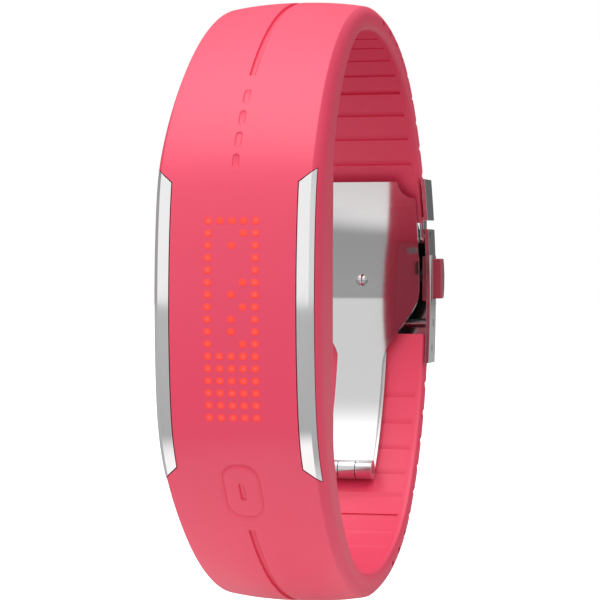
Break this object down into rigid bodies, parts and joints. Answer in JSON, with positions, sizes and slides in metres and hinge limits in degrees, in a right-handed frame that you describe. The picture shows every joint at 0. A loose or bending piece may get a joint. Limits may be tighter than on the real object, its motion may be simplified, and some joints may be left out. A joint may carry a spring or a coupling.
{
  "type": "fitness tracker band",
  "caption": "Closed silicone wrist band with a display capsule in front and a fold-over steel clasp with side pushers behind",
  "frame": {"origin": "centre of the loop, on the wrist's axis, mid-width", "axes": "+X along the wrist, +Y from the display to the clasp, +Z to the top of the loop"},
  "size_m": [0.022, 0.0716, 0.0758],
  "materials": {
    "silicone": "matte silicone with a fine grain",
    "trim_steel": "fine satin",
    "emitter": "glowing through the silicone",
    "black_plastic": "fine spark texture",
    "cover_plastic": "fine texture, dyed to match the silicone",
    "pusher_plastic": "glossy, dyed dark pink",
    "circuit_board": "solder mask",
    "chip_black": "moulded chip package",
    "shield_steel": "drawn can",
    "gold_contact": "gold plated",
    "seal_rubber": "matte",
    "screw_steel": "turned",
    "cable_film": "polyimide film",
    "mirror_steel": "mirror polish",
    "brushed_steel": "polished, slightly brushed",
    "spring_steel": "plain"
  },
  "bodies": {
    "root": {"capsule_cover": "silicone", "upper_strap": "silicone", "strap_root": "silicone", "left_trim": "trim_steel", "right_trim": "trim_steel", "display_leds": "emitter", "light_mask": "black_plastic", "display_board": "circuit_board", "touch_electrode": "gold_contact", "capsule_frame": "black_plastic", "back_cover": "cover_plastic", "cover_seal": "seal_rubber", "cover_screws": "screw_steel", "main_board": "circuit_board", "processor": "chip_black", "radio_module": "shield_steel", "motion_sensor": "chip_black", "memory": "chip_black", "charging_controller": "chip_black", "antenna": "gold_contact", "flex_cable": "cable_film", "battery": "shield_steel", "battery_pad": "seal_rubber", "battery_board": "circuit_board", "contact_carrier": "black_plastic", "charging_contacts": "gold_contact", "locating_magnets": "shield_steel", "upper_link": "brushed_steel", "upper_strap_pin": "screw_steel", "link_hinge_pin": "screw_steel"},
    "lower_side": {"lower_strap": "silicone", "lower_strap_pin": "screw_steel", "clasp_cover": "brushed_steel", "cover_hinge_pin": "screw_steel", "pusher_guide": "spring_steel", "right_pusher_spring": "spring_steel", "left_pusher_spring": "spring_steel"},
    "middle_link": {"middle_blade": "brushed_steel", "barrel_pin": "screw_steel"},
    "inner_link": {"inner_blade": "mirror_steel", "catch_stud": "mirror_steel"},
    "right_button": {"right_pusher": "pusher_plastic"},
    "left_button": {"left_pusher": "pusher_plastic"}
  },
  "joints": [
    {"name": "lower_strap_flex", "type": "hinge", "parent": "root", "child": "lower_side", "pos_m": [0, 0.00745, -0.03537], "axis": [-1, 0, 0], "range_deg": [0, 28], "stiffness_Nm_per_rad": 0.02},
    {"name": "middle_blade_fold", "type": "hinge", "parent": "lower_side", "child": "middle_link", "pos_m": [0, 0.0336, -0.0034], "axis": [-1, 0, 0], "range_deg": [0, 21.7]},
    {"name": "inner_blade_fold", "type": "hinge", "parent": "middle_link", "child": "inner_link", "pos_m": [0, 0.02174, -0.0233], "axis": [1, 0, 0], "range_deg": [0, 50.2]},
    {"name": "right_pusher_press", "type": "slide", "parent": "lower_side", "child": "right_button", "axis": [-1, 0, 0], "range_m": [0, 0.0008], "stiffness_N_per_m": 900, "springref_m": -0.0006},
    {"name": "left_pusher_press", "type": "slide", "parent": "lower_side", "child": "left_button", "axis": [1, 0, 0], "range_m": [0, 0.0008], "stiffness_N_per_m": 900, "springref_m": -0.0006}
  ],
  "couplings": [
    {"joint": "middle_blade_fold", "follows": "lower_strap_flex", "ratio": 0.7721},
    {"joint": "inner_blade_fold", "follows": "lower_strap_flex", "ratio": 1.7914}
  ]
}
